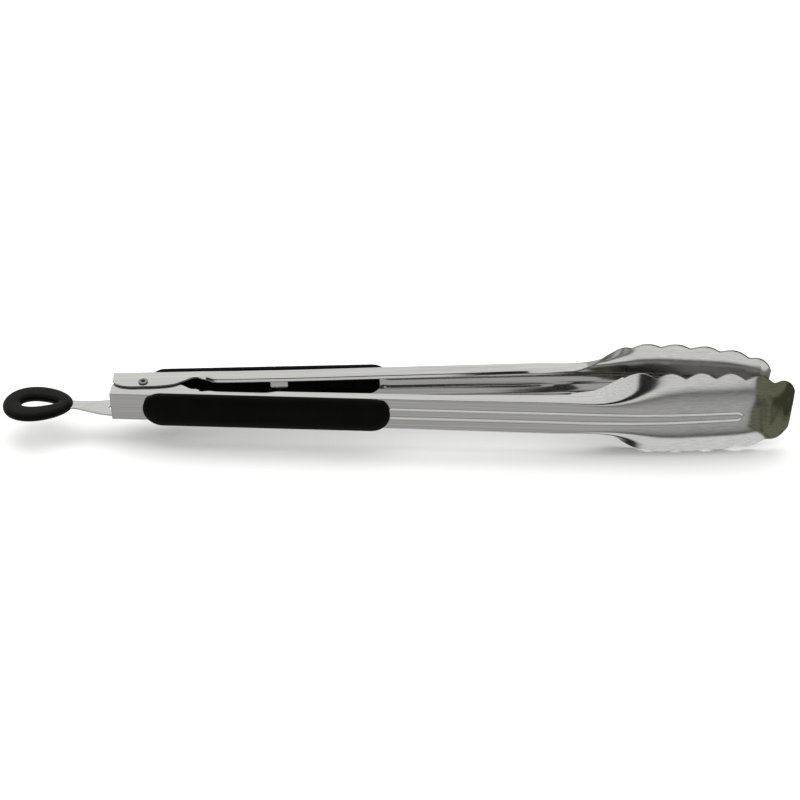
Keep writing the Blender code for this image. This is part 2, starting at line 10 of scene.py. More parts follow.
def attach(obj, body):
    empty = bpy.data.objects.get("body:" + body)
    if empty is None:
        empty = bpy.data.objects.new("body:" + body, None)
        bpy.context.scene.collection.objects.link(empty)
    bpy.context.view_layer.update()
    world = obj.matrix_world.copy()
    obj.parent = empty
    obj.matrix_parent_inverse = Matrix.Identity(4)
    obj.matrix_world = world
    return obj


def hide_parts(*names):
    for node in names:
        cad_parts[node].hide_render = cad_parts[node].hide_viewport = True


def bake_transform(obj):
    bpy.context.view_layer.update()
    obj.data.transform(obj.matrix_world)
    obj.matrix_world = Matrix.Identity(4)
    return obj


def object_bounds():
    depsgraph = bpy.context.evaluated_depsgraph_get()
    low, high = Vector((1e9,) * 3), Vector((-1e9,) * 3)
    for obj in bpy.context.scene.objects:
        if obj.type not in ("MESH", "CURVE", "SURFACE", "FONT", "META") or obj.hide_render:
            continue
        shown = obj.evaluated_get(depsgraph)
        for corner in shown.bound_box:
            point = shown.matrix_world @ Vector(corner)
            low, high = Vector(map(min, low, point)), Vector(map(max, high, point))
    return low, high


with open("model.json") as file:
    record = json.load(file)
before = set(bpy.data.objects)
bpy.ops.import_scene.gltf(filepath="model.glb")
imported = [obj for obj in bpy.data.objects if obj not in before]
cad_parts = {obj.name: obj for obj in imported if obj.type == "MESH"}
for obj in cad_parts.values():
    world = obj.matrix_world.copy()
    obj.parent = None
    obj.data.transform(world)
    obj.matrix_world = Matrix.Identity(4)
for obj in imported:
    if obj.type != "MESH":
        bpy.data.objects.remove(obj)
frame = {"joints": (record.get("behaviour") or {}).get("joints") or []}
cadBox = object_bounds()
mm = 0.001
hinge = [joint for joint in frame["joints"] if joint["name"] == "arm_hinge"][0]
pivot = Vector(hinge["pos_m"])
restAngle = math.radians(2.4)  # each arm stands this far open from the middle line

# x along the arm from the rivet in mm, then millimetres or degrees
armForm = {
    "sheet": 0.9,
    "tipX": 383.0,
    "headOffset": 4.9,
    "outerTailHalf": 11.0,
    "innerTailHalf": 9.7,
    "jog": (72.0, 82.0),
    "scallops": 6,
    "scallopPitch": 17.7,
    "firstScallop": 289.8,
    "scallopDepth": 3.6,
    "ribDepth": 0.9,
    "ribStart": 142.6,
    "ribEnd": 353.0,
    "ribRamp": 7.0,
    "ribWall": 2.9,
    "lipAngle": 54.0,
    "lipRun": (32.0, 262.0),
    "lipEase": (6.0, 30.0),
    "lipFrom": 3.2,
    "lipBend": 1.4,
    "headEase": (180.0, 262.0),
    "bendBack": 2.6,
    "earHole": 2.05,
    "rimBevel": 0.2,
    "rimAngle": 50.0,
    "rimBand": 1.3,
    "jogGap": 0.1,
    "lastTrim": 0.8,
    "cuspSoft": 0.012,
    "firstDepth": 0.35,
    "holeSides": 48,
    "holeDeep": 40.0,
    "smooth": 32,
    # stretches of stations: from, to and how many; then the head's count and the tip's stretch
    "runs": ((-18.5, -12.0, 9), (-12.0, 8.0, 8), (8.0, 35.0, 20), (35.0, 44.0, 14),
             (44.0, 72.0, 8), (72.0, 82.0, 8), (82.0, 142.0, 10), (142.0, 152.0, 12),
             (152.0, 250.0, 32), (250.0, 290.0, 40)),
    "headCount": 150,
    "tipRun": (8.0, 20),
    # places across half the sheet, from the middle: over the rib, then counts to the edge
    "samples": 240,
    "ribMarks": (0.0, 0.8, 1.4, 1.8, 2.1, 2.4, 2.7, 3.0, 3.3, 3.6, 3.9, 4.2, 4.6, 5.0),
    "ribEdge": 5.3,
    "lipGap": 0.6,
    "markCounts": (10, 3, 8),
    "edgeAngle": ((-18.5, 90), (32, 90), (46, 102), (170, 102), (232, 92), (262, 86), (274, 68),
                  (284, 45), (294, 31), (306, 24), (350, 21), (370, 18), (383, 14)),
    "bendFrom": ((-18.5, 0.9), (35, 0.9), (60, 0.5), (240, 0.5), (262, -1.0), (280, -3.0),
                 (296, -4.6), (383, -5.5)),
    "bendLength": ((-18.5, 2.7), (35, 2.7), (60, 3.2), (240, 3.2), (262, 5.5), (280, 12),
                   (296, 18), (320, 21), (350, 20), (383, 14)),
    "edgeReach": ((-18.5, 19.2), (-17.6, 21.0), (-15.5, 23.0), (-12, 24.6), (-6, 25.6), (5, 25.6),
                  (12.6, 25.1), (18, 24.0), (23.8, 20.9), (30.2, 17.4), (35, 17.8), (42, 20.0),
                  (180, 20.0),
                  (240, 20.4), (258, 20.9), (268, 22.4), (277, 25.6), (285, 28.3), (294, 28.9),
                  (320, 28.9), (340, 28.1), (356, 26.1), (368, 23.6), (375, 21.2), (379, 18.7),
                  (381.6, 16.0), (383, 12.6)),
    "widthGain": ((-18.5, 0), (82, 0.1), (150, 0.6), (262, 1.1), (383, 1.1)),
    "backLine": ((-18.5, 11.0), (262, 11.0), (284, 10.6), (300, 9.8), (314, 8.7), (328, 7.2),
                 (342, 5.6), (357, 3.6), (368, 1.4), (377, -1.5), (383, -4.4)),
    "ribHalf": ((150, 4.6), (262, 4.6), (355, 3.9)),
}


def clearSelection():
    if bpy.context.mode != "OBJECT":
        bpy.ops.object.mode_set(mode="OBJECT")
    bpy.ops.object.select_all(action="DESELECT")


def onlyThis(item):
    clearSelection()
    item.select_set(True)
    bpy.context.view_layer.objects.active = item


def startEdit(item, kind="FACE"):
    onlyThis(item)
    bpy.ops.object.mode_set(mode="EDIT")
    bpy.ops.mesh.select_mode(type=kind)
    bpy.ops.mesh.select_all(action="DESELECT")


def endEdit():
    bpy.ops.object.mode_set(mode="OBJECT")


def applyAll(item):
    onlyThis(item)
    for step in list(item.modifiers):
        bpy.ops.object.modifier_apply(modifier=step.name)


def cutWith(item, cutter, mode="DIFFERENCE"):
    step = item.modifiers.new("cut", "BOOLEAN")
    step.operation = mode
    step.solver = "EXACT"
    step.object = cutter
    applyAll(item)
    bpy.data.objects.remove(cutter, do_unlink=True)


def roundEdges(item, width, segments, angle=30.0):
    step = item.modifiers.new("round", "BEVEL")
    step.width = width * mm
    step.segments = segments
    step.limit_method = "ANGLE"
    step.angle_limit = math.radians(angle)
    step.harden_normals = False
    applyAll(item)


def tidyMesh(item):
    startEdit(item)
    bpy.ops.mesh.select_all(action="SELECT")
    bpy.ops.mesh.remove_doubles(threshold=0.000002)
    bpy.ops.mesh.normals_make_consistent(inside=False)
    endEdit()


def smoothOver(item, degrees):
    onlyThis(item)
    bpy.ops.object.shade_smooth_by_angle(angle=math.radians(degrees))


def seat(item, name, body, node, material, turn=0.0):
    item.name = name
    item.data.name = name
    onlyThis(item)
    item.data.transform(Matrix.Rotation(turn, 4, "Z"))
    item.location = pivot
    bpy.ops.object.transform_apply(location=True, rotation=True, scale=True)
    item.data.materials.clear()
    item.data.materials.append(material)
    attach(item, body)
    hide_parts(node)


def newNodes(material):
    material.use_nodes = True
    tree = material.node_tree
    shader = tree.nodes["Principled BSDF"]
    return tree, shader


def link(tree, a, b):
    tree.links.new(a, b)


def addNode(tree, kind, x, y, **values):
    made = tree.nodes.new(kind)
    made.location = (x, y)
    for key, value in values.items():
        setattr(made, key, value)
    return made


def mathNode(tree, operation, x, y, first=None, second=None):
    made = addNode(tree, "ShaderNodeMath", x, y, operation=operation)
    for place, value in enumerate((first, second)):
        if value is None:
            continue
        if isinstance(value, (int, float)):
            made.inputs[place].default_value = value
        else:
            link(tree, value, made.inputs[place])
    return made.outputs[0]


def noiseNode(tree, x, y, place, **values):
    made = addNode(tree, "ShaderNodeTexNoise", x, y)
    for key, value in values.items():
        made.inputs[key].default_value = value
    link(tree, place, made.inputs["Vector"])
    return made


def rampNode(tree, x, y, factor, stops):
    made = addNode(tree, "ShaderNodeValToRGB", x, y)
    for element, (spot, color) in zip(made.color_ramp.elements, stops):
        element.position = spot
        element.color = color
    link(tree, factor, made.inputs[0])
    return made


def sharpNode(tree, x, y, value, limits):
    made = addNode(tree, "ShaderNodeMapRange", x, y)
    made.inputs["From Min"].default_value, made.inputs["From Max"].default_value = limits
    link(tree, value, made.inputs["Value"])
    return made


def groupSockets(group, inputs, outputs):
    for name, kind, value in inputs:
        made = group.interface.new_socket(name=name, in_out="INPUT", socket_type=kind)
        if value is not None:
            made.default_value = value
    for name, kind in outputs:
        group.interface.new_socket(name=name, in_out="OUTPUT", socket_type=kind)


grainForm = {"lineDetail": 5.0, "lineMix": 0.62, "smearDetail": 4.0, "smearMix": 0.6,
             "smearTwist": 0.8, "scuffScale": 620.0, "scuffDetail": 2.0,
             "scuffLimits": (0.62, 0.74), "tones": (0.3, 0.7), "bumpHigh": 0.00002,
             "rimLimits": (0.975, 0.995), "rimRough": 0.14}
skinForm = {"cloudDetail": 5.0, "cloudMix": 0.65, "speckScale": 900.0, "speckDetail": 3.0,
            "dustLimits": (0.6, 0.78), "tones": (0.3, 0.75), "bumpHigh": 0.00004}


# rolled steel: long fine drawing lines, wiped smears and small scuffs
def buildGrainGroup():
    form = grainForm
    group = bpy.data.node_groups.new("rolledGrain", "ShaderNodeTree")
    groupSockets(group, [("Place", "NodeSocketVector", None), ("Fine", "NodeSocketFloat", 900.0),
                         ("Long", "NodeSocketFloat", 6.0), ("Smear", "NodeSocketFloat", 35.0)],
                 [("Lines", "NodeSocketFloat"), ("Smears", "NodeSocketFloat"),
                  ("Scuffs", "NodeSocketFloat")])
    enter = addNode(group, "NodeGroupInput", -900, 0)
    leave = addNode(group, "NodeGroupOutput", 900, 0)
    scale = addNode(group, "ShaderNodeCombineXYZ", -700, 200)
    link(group, enter.outputs["Long"], scale.inputs[0])
    link(group, enter.outputs["Fine"], scale.inputs[1])
    link(group, enter.outputs["Fine"], scale.inputs[2])
    stretch = addNode(group, "ShaderNodeVectorMath", -500, 200, operation="MULTIPLY")
    link(group, enter.outputs["Place"], stretch.inputs[0])
    link(group, scale.outputs[0], stretch.inputs[1])
    lines = noiseNode(group, -300, 200, stretch.outputs[0], Scale=1.0, Detail=form["lineDetail"],
                      Roughness=form["lineMix"])
    smears = noiseNode(group, -300, -50, enter.outputs["Place"], Detail=form["smearDetail"],
                       Roughness=form["smearMix"], Distortion=form["smearTwist"])
    link(group, enter.outputs["Smear"], smears.inputs["Scale"])
    scuffs = noiseNode(group, -300, -300, enter.outputs["Place"], Scale=form["scuffScale"],
                       Detail=form["scuffDetail"])
    sharpen = sharpNode(group, 0, -300, scuffs.outputs[0], form["scuffLimits"])
    link(group, lines.outputs[0], leave.inputs["Lines"])
    link(group, smears.outputs[0], leave.inputs["Smears"])
    link(group, sharpen.outputs[0], leave.inputs["Scuffs"])
    return group


# moulded rubber and plastic: fine pebble, soft clouding and dust in the low spots
def buildMouldedGroup():
    form = skinForm
    group = bpy.data.node_groups.new("mouldedSkin", "ShaderNodeTree")
    groupSockets(group, [("Place", "NodeSocketVector", None), ("Pebble", "NodeSocketFloat", 2600.0),
                         ("Cloud", "NodeSocketFloat", 40.0)],
                 [("Height", "NodeSocketFloat"), ("Clouding", "NodeSocketFloat"),
                  ("Dust", "NodeSocketFloat")])
    enter = addNode(group, "NodeGroupInput", -900, 0)
    leave = addNode(group, "NodeGroupOutput", 900, 0)
    pebble = addNode(group, "ShaderNodeTexVoronoi", -500, 200)
    link(group, enter.outputs["Place"], pebble.inputs["Vector"])
    link(group, enter.outputs["Pebble"], pebble.inputs["Scale"])
    cloud = noiseNode(group, -500, -50, enter.outputs["Place"], Detail=form["cloudDetail"],
                      Roughness=form["cloudMix"])
    link(group, enter.outputs["Cloud"], cloud.inputs["Scale"])
    specks = noiseNode(group, -500, -300, enter.outputs["Place"], Scale=form["speckScale"],
                       Detail=form["speckDetail"])
    dust = sharpNode(group, -200, -300, specks.outputs[0], form["dustLimits"])
    link(group, pebble.outputs["Distance"], leave.inputs["Height"])
    link(group, cloud.outputs[0], leave.inputs["Clouding"])
    link(group, dust.outputs[0], leave.inputs["Dust"])
    return group


grainGroup = buildGrainGroup()
mouldedGroup = buildMouldedGroup()


def steelFinish(name, look, turn=0.0, hasRim=False):
    material = bpy.data.materials.new(name)
    tree, shader = newNodes(material)
    place = addNode(tree, "ShaderNodeTexCoord", -1300, 0)
    turned = addNode(tree, "ShaderNodeMapping", -1100, 0)
    turned.inputs["Location"].default_value = -(Matrix.Rotation(-turn, 3, "Z") @ pivot)
    turned.inputs["Rotation"].default_value = (0.0, 0.0, -turn)
    link(tree, place.outputs["Object"], turned.inputs["Vector"])
    grain = addNode(tree, "ShaderNodeGroup", -850, 0)
    grain.node_tree = grainGroup
    grain.inputs["Fine"].default_value = look["fine"]
    grain.inputs["Long"].default_value = look["long"]
    grain.inputs["Smear"].default_value = look["smear"]
    link(tree, turned.outputs[0], grain.inputs["Place"])
    low, high = grainForm["tones"]
    tone = rampNode(tree, -500, 250, grain.outputs["Lines"],
                    ((low, look["dark"]), (high, look["light"])))
    rough = mathNode(tree, "MULTIPLY", -500, 0, grain.outputs["Lines"], look["lineRough"])
    smear = mathNode(tree, "MULTIPLY", -500, -150, grain.outputs["Smears"], look["smearRough"])
    scuff = mathNode(tree, "MULTIPLY", -500, -300, grain.outputs["Scuffs"], look["scuffRough"])
    total = mathNode(tree, "ADD", -300, 0, rough, smear)
    total = mathNode(tree, "ADD", -150, 0, total, scuff)
    total = mathNode(tree, "ADD", 0, 0, total, look["rough"])
    color = tone.outputs[0]
    # along the sheet's edges the colour is mixed towards the darker rim tone, which is painted
    # shade for the shadowed edge lines; the added roughness there is edge wear
    if hasRim:
        rim = addNode(tree, "ShaderNodeAttribute", -1000, -450, attribute_name="rim")
        rimShadeAndWear = sharpNode(tree, -800, -450, rim.outputs["Fac"], grainForm["rimLimits"])
        worn = mathNode(tree, "MULTIPLY", -500, -450, rimShadeAndWear.outputs[0], grainForm["rimRough"])
        total = mathNode(tree, "ADD", 150, 0, total, worn)
        mix = addNode(tree, "ShaderNodeMix", -150, 300, data_type="RGBA")
        link(tree, rimShadeAndWear.outputs[0], mix.inputs[0])
        link(tree, color, mix.inputs[6])
        mix.inputs[7].default_value = look["rim"]
        color = mix.outputs[2]
    link(tree, color, shader.inputs["Base Color"])
    link(tree, total, shader.inputs["Roughness"])
    shader.inputs["Metallic"].default_value = 1.0
    bump = addNode(tree, "ShaderNodeBump", 0, -350)
    bump.inputs["Strength"].default_value = look["bump"]
    bump.inputs["Distance"].default_value = grainForm["bumpHigh"]
    link(tree, grain.outputs["Lines"], bump.inputs["Height"])
    link(tree, bump.outputs[0], shader.inputs["Normal"])
    return material


def mouldedFinish(name, look):
    material = bpy.data.materials.new(name)
    tree, shader = newNodes(material)
    place = addNode(tree, "ShaderNodeTexCoord", -1300, 0)
    skin = addNode(tree, "ShaderNodeGroup", -850, 0)
    skin.node_tree = mouldedGroup
    skin.inputs["Pebble"].default_value = look["pebble"]
    skin.inputs["Cloud"].default_value = look["cloud"]
    link(tree, place.outputs["Object"], skin.inputs["Place"])
    low, high = skinForm["tones"]
    tone = rampNode(tree, -500, 250, skin.outputs["Clouding"],
                    ((low, look["dark"]), (high, look["light"])))
    dusty = addNode(tree, "ShaderNodeMix", -150, 300, data_type="RGBA")
    amount = mathNode(tree, "MULTIPLY", -350, 100, skin.outputs["Dust"], look["dustAmount"])
    link(tree, amount, dusty.inputs[0])
    link(tree, tone.outputs[0], dusty.inputs[6])
    dusty.inputs[7].default_value = look["dust"]
    link(tree, dusty.outputs[2], shader.inputs["Base Color"])
    cloud = mathNode(tree, "MULTIPLY", -500, -100, skin.outputs["Clouding"], look["cloudRough"])
    rough = mathNode(tree, "ADD", -300, -100, cloud, look["rough"])
    link(tree, rough, shader.inputs["Roughness"])
    bump = addNode(tree, "ShaderNodeBump", 0, -350)
    bump.inputs["Strength"].default_value = look["bump"]
    bump.inputs["Distance"].default_value = skinForm["bumpHigh"]
    link(tree, skin.outputs["Height"], bump.inputs["Height"])
    link(tree, bump.outputs[0], shader.inputs["Normal"])
    shader.inputs["Specular IOR Level"].default_value = look["shine"]
    return material


# the rim colour is painted shade, darkening the steel along the sheet's cut edges
sheetLook = {"fine": 1500.0, "long": 7.0, "smear": 30.0, "dark": (0.50, 0.50, 0.485, 1.0),
             "light": (0.66, 0.655, 0.635, 1.0), "rim": (0.30, 0.30, 0.285, 1.0), "rough": 0.04,
             "lineRough": 0.10, "smearRough": 0.07, "scuffRough": 0.04, "bump": 0.25}
plateLook = dict(sheetLook, fine=1100.0, long=60.0, rough=0.14, bump=0.35)
rivetLook = dict(sheetLook, fine=1600.0, long=400.0, dark=(0.16, 0.16, 0.15, 1.0),
                 light=(0.34, 0.34, 0.33, 1.0), rough=0.14, bump=0.2)
wireLook = {"fine": 1200.0, "long": 300.0, "smear": 90.0, "dark": (0.30, 0.30, 0.30, 1.0),
            "light": (0.50, 0.50, 0.49, 1.0), "rough": 0.16,
            "lineRough": 0.16, "smearRough": 0.1, "scuffRough": 0.05, "bump": 0.35}
gripLook = {"pebble": 2600.0, "cloud": 45.0, "dark": (0.0008, 0.0010, 0.0006, 1.0),
            "light": (0.0024, 0.0029, 0.0017, 1.0), "dust": (0.03, 0.03, 0.027, 1.0),
            "dustAmount": 0.04, "rough": 0.42, "cloudRough": 0.2, "bump": 0.25, "shine": 0.05}
linerLook = dict(gripLook, rough=0.5, pebble=2200.0)
loopLook = dict(gripLook, pebble=1800.0, rough=0.2, cloudRough=0.16, bump=0.12, shine=0.09)
nylonLook = {"pebble": 1500.0, "cloud": 120.0, "dark": (0.60, 0.58, 0.53, 1.0),
             "light": (0.74, 0.73, 0.69, 1.0), "dust": (0.30, 0.28, 0.25, 1.0),
             "dustAmount": 0.25, "rough": 0.36, "cloudRough": 0.2, "bump": 0.1, "shine": 0.5}

outerSteel = steelFinish("outerArmSteel", sheetLook, restAngle, hasRim=True)
innerSteel = steelFinish("innerArmSteel", sheetLook, -restAngle, hasRim=True)
plateSteel = steelFinish("lockPlateSteel", plateLook)
rivetSteel = steelFinish("rivetSteel", rivetLook)
wireSteel = steelFinish("springWire", wireLook)
gripRubber = mouldedFinish("gripRubber", gripLook)
linerRubber = mouldedFinish("linerRubber", linerLook)
loopPlastic = mouldedFinish("loopPlastic", loopLook)
nylon = mouldedFinish("naturalNylon", nylonLook)
print("finishes ready")


def ease(t):
    t = min(max(t, 0.0), 1.0)
    return t * t * (3.0 - 2.0 * t)


def readTable(rows, x):
    return float(np.interp(x, [row[0] for row in rows], [row[1] for row in rows]))


def easedTable(rows, x):
    xs = [row[0] for row in rows]
    values = [row[1] for row in rows]
    x = min(max(x, xs[0]), xs[-1])
    spot = min(max(int(np.searchsorted(xs, x)) - 1, 0), len(xs) - 2)
    slopes = []
    for k in (spot, spot + 1):
        if k == 0 or k == len(xs) - 1:
            slopes.append(0.0)
            continue
        before = (values[k] - values[k - 1]) / (xs[k] - xs[k - 1])
        after = (values[k + 1] - values[k]) / (xs[k + 1] - xs[k])
        slopes.append(0.0 if before * after <= 0 else 2 * before * after / (before + after))
    step = xs[spot + 1] - xs[spot]
    t = (x - xs[spot]) / step
    a = (1 + 2 * t) * (1 - t) ** 2 * values[spot] + t * t * (3 - 2 * t) * values[spot + 1]
    b = t * (1 - t) ** 2 * step * slopes[0] - t * t * (1 - t) * step * slopes[1]
    return float(a + b)


def stationsAlong(headShift):
    tip = armForm["tipX"] + headShift
    tipLength, tipCount = armForm["tipRun"]
    head = tip - tipLength
    last = armForm["runs"][-1][1]
    runs = armForm["runs"] + ((last, head, armForm["headCount"]), (head, tip, tipCount))
    stations = []
    for low, high, count in runs:
        stations += list(np.linspace(low, high, count, endpoint=False))
    return stations + [tip]


def trimAt(x):
    pitch = armForm["scallopPitch"]
    first = armForm["firstScallop"]
    start = first - pitch / 2
    end = first + (armForm["scallops"] - armForm["lastTrim"]) * pitch
    if x < start or x > end:
        return 0.0
    wave = math.cos(math.pi * (x - first) / pitch)
    soft = armForm["cuspSoft"]
    crest = math.sqrt((wave * wave + soft) / (1.0 + soft))
    least = armForm["firstDepth"]
    grown = least + (1.0 - least) * ease((x - start) / pitch)
    return armForm["scallopDepth"] * (1.0 - crest) * grown


def ribDrop(x, along):
    start, end = armForm["ribStart"], armForm["ribEnd"]
    if x < start or x > end:
        return 0.0
    half = readTable(armForm["ribHalf"], x)
    room = math.sqrt(max(0.0, 1.0 - max(0.0, (x - (end - half)) / half) ** 2))
    side = ease((half * room - along) / armForm["ribWall"])
    return armForm["ribDepth"] * side * ease(min(1.0, (x - start) / armForm["ribRamp"]))


def sectionAt(place, tailHalf, headShift):
    low, high = armForm["headEase"]
    x = place - headShift * ease((place - low) / (high - low))
    jogLow, jogHigh = armForm["jog"]
    shared = armForm["outerTailHalf"] - armForm["jogGap"]
    wide = tailHalf + (shared - tailHalf) * ease((x - jogLow) / (jogHigh - jogLow))
    wide += easedTable(armForm["widthGain"], x)
    edge = math.radians(easedTable(armForm["edgeAngle"], x))
    start = wide - armForm["bendBack"] + easedTable(armForm["bendFrom"], x)
    stop = start + easedTable(armForm["bendLength"], x)
    reach = easedTable(armForm["edgeReach"], x) + wide - armForm["outerTailHalf"] - trimAt(x)
    back = easedTable(armForm["backLine"], x)
    lipLow, lipHigh = armForm["lipRun"]
    easeIn, easeOut = armForm["lipEase"]
    lip = math.radians(armForm["lipAngle"]) * ease((x - lipLow) / easeIn)
    lip *= ease((lipHigh - x) / easeOut)
    lipStart = reach - armForm["lipFrom"]
    fine = np.linspace(0.0, reach, armForm["samples"])
    share = np.clip((fine - start) / (stop - start), 0.0, 1.0)
    turn = edge * share * share * (3 - 2 * share)
    share = np.clip((fine - lipStart) / armForm["lipBend"], 0.0, 1.0)
    turn = turn + lip * share * share * (3 - 2 * share)
    middle = (turn[1:] + turn[:-1]) / 2
    gap = fine[1] - fine[0]
    zs = np.concatenate(([0.0], np.cumsum(np.cos(middle)) * gap))
    ys = np.concatenate(([0.0], np.cumsum(np.sin(middle)) * gap))
    first = max(start, armForm["ribEdge"])
    last = min(stop, lipStart - armForm["lipGap"])
    bends, flats, lips = armForm["markCounts"]
    marks = list(armForm["ribMarks"])
    marks += [first + (last - first) * k / bends for k in range(bends + 1)]
    marks += [last + (lipStart - last) * k / flats for k in range(1, flats + 1)]
    marks += [lipStart + (reach - lipStart) * k / lips for k in range(1, lips + 1)]
    points = []
    for mark in marks:
        y = back - float(np.interp(mark, fine, ys)) - ribDrop(x, mark)
        rim = 1.0 - ease((reach - mark) / armForm["rimBand"])
        points.append((y, float(np.interp(mark, fine, zs)), rim))
    return points


# the flat blank is a grid; the tables press it into the channel, the rib and the spoon
def pressArm(side, tailHalf):
    headShift = -side * armForm["headOffset"]
    stations = stationsAlong(headShift)
    sections = []
    for x in stations:
        half = sectionAt(x, tailHalf, headShift)
        sections.append([(y, -z, rim) for y, z, rim in reversed(half[1:])] + half)
    rows, columns = len(stations), len(sections[0])
    clearSelection()
    bpy.ops.mesh.primitive_grid_add(x_subdivisions=rows - 1, y_subdivisions=columns - 1, size=1.0)
    arm = bpy.context.object
    rims = np.zeros(len(arm.data.vertices), np.float32)
    for vertex in arm.data.vertices:
        row = round((vertex.co.x + 0.5) * (rows - 1))
        column = round((vertex.co.y + 0.5) * (columns - 1))
        y, z, rim = sections[row][column]
        vertex.co = (stations[row] * mm, side * y * mm, z * mm)
        rims[vertex.index] = rim
    mark = arm.data.attributes.new("rim", "FLOAT", "POINT")
    mark.data.foreach_set("value", rims)
    web = max(arm.data.polygons, key=lambda face: face.normal.y * face.normal.y)
    if web.normal.y * side < 0:
        startEdit(arm)
        bpy.ops.mesh.select_all(action="SELECT")
        bpy.ops.mesh.flip_normals()
        endEdit()
    wall = arm.modifiers.new("sheet", "SOLIDIFY")
    wall.thickness = armForm["sheet"] * mm
    wall.offset = -1.0
    wall.use_even_offset = True
    applyAll(arm)
    roundEdges(arm, armForm["rimBevel"], 2, armForm["rimAngle"])
    clearSelection()
    bpy.ops.mesh.primitive_cylinder_add(
        vertices=armForm["holeSides"], radius=armForm["earHole"] * mm,
        depth=armForm["holeDeep"] * mm)
    cutWith(arm, bpy.context.object)
    near, far = gripForm["slotReach"]
    for x in gripForm["lugs"]:
        cutWith(arm, lugBlock(x, side, near, far, gripForm["slotRoom"]))
    smoothOver(arm, armForm["smooth"])
    return arm


gripForm = {
    "start": 1.0,
    "end": 148.4,
    "half": 11.2,
    "base": 11.3,
    "lip": 1.4,
    "crown": 4.6,
    "flat": 7.6,
    "pull": 0.6,
    "soft": 2.2,
    "lugs": (46.0, 116.0),
    "lugHalf": (9.0, 3.0),
    "lugReach": (8.6, 12.5),
    "slotReach": (8.0, 14.0),
    "slotRoom": 0.3,
    "foot": 0.25,
    "skin": 0.001,
    "corner": 16,
    "insets": (0.08, 0.2, 0.4, 0.7, 1.1, 1.6, 2.2, 2.9, 3.7, 4.6, 5.6, 6.6, 7.6),
    "smooth": 45,
}
linerForm = {
    "start": 21.0,
    "end": 142.0,
    "half": 6.9,
    "top": 9.8,
    "deep": 1.8,
    "corner": 14,
    "slotReach": (4.0, 14.0),
    "windowX": 80.5,
    "windowR": 6.1,
    "windowY": 10.0,
    "windowDeep": 12.0,
    "windowSides": 6,
    "round": (0.3, 3, 40.0),
    "smooth": 40,
}


def lugBlock(x, side, near, far, room):
    halfLong, halfWide = gripForm["lugHalf"]
    clearSelection()
    bpy.ops.mesh.primitive_cube_add(size=1.0, location=(x * mm, side * (near + far) / 2 * mm, 0.0))
    block = bpy.context.object
    block.scale = (2 * (halfLong + room) * mm, (far - near) * mm, 2 * (halfWide + room) * mm)
    bpy.ops.object.transform_apply(location=True, rotation=True, scale=True)
    return block


# a plane the size of the pad, its corners rounded to half circles, facing out along Y
def stadiumFace(start, end, half, y, side, segments):
    clearSelection()
    bpy.ops.mesh.primitive_plane_add(size=1.0, location=((start + end) / 2 * mm, y * mm, 0.0),
                                     rotation=(-side * math.pi / 2, 0.0, 0.0))
    pad = bpy.context.object
    pad.scale = ((end - start) * mm, 2 * half * mm, 1.0)
    bpy.ops.object.transform_apply(location=True, rotation=True, scale=True)
    startEdit(pad, "VERT")
    bpy.ops.mesh.select_all(action="SELECT")
    bpy.ops.mesh.bevel(offset=half * 0.9999 * mm, segments=segments, affect="VERTICES")
    bpy.ops.mesh.remove_doubles(threshold=half * 0.002 * mm)
    endEdit()
    return pad


def raiseFace(height, side):
    bpy.ops.mesh.extrude_region_move(
        TRANSFORM_OT_translate={"value": (0.0, side * height * mm, 0.0)})


def mouldGrip(side):
    form = gripForm
    foot = form["foot"]
    pad = stadiumFace(form["start"] + foot, form["end"] - foot, form["half"] - foot,
                      side * form["base"], side, form["corner"])
    startEdit(pad)
    bpy.ops.mesh.select_all(action="SELECT")
    raiseFace(form["skin"], side)
    bpy.ops.mesh.inset(thickness=foot * mm, depth=foot * mm, use_outset=True)
    raiseFace(form["lip"] - foot, side)
    deep, height = 0.0, 0.0
    rise = form["crown"] - form["lip"]
    middle = (form["start"] + form["end"]) / 2 * mm
    for inset in form["insets"]:
        share = inset / form["flat"]
        level = rise * (1.0 - (1.0 - share) ** form["soft"]) ** (1.0 / form["soft"])
        bpy.ops.mesh.inset(thickness=(inset - deep) * mm, depth=(level - height) * mm)
        span = (form["end"] - form["start"]) / 2 - deep * (1.0 + form["pull"])
        ratio = 1.0 - (inset - deep) * form["pull"] / span
        bpy.ops.transform.resize(value=(ratio, 1.0, 1.0), center_override=(middle, 0.0, 0.0))
        deep, height = inset, level
    endEdit()
    tidyMesh(pad)
    near, far = form["lugReach"]
    for x in form["lugs"]:
        cutWith(pad, lugBlock(x, side, near, far, 0.0), "UNION")
    smoothOver(pad, form["smooth"])
    return pad


def mouldLiner(side):
    form = linerForm
    pad = stadiumFace(form["start"], form["end"], form["half"], side * form["top"], -side,
                      form["corner"])
    startEdit(pad)
    bpy.ops.mesh.select_all(action="SELECT")
    raiseFace(form["deep"], -side)
    endEdit()
    tidyMesh(pad)
    near, far = form["slotReach"]
    for x in gripForm["lugs"]:
        cutWith(pad, lugBlock(x, side, near, far, gripForm["slotRoom"]))
    clearSelection()
    bpy.ops.mesh.primitive_cylinder_add(
        vertices=form["windowSides"], radius=form["windowR"] * mm, depth=form["windowDeep"] * mm,
        location=(form["windowX"] * mm, side * form["windowY"] * mm, 0.0),
        rotation=(-math.pi / 2, 0.0, 0.0))
    bpy.ops.object.transform_apply(location=True, rotation=True, scale=True)
    cutWith(pad, bpy.context.object)
    roundEdges(pad, *form["round"])
    smoothOver(pad, form["smooth"])
    return pad


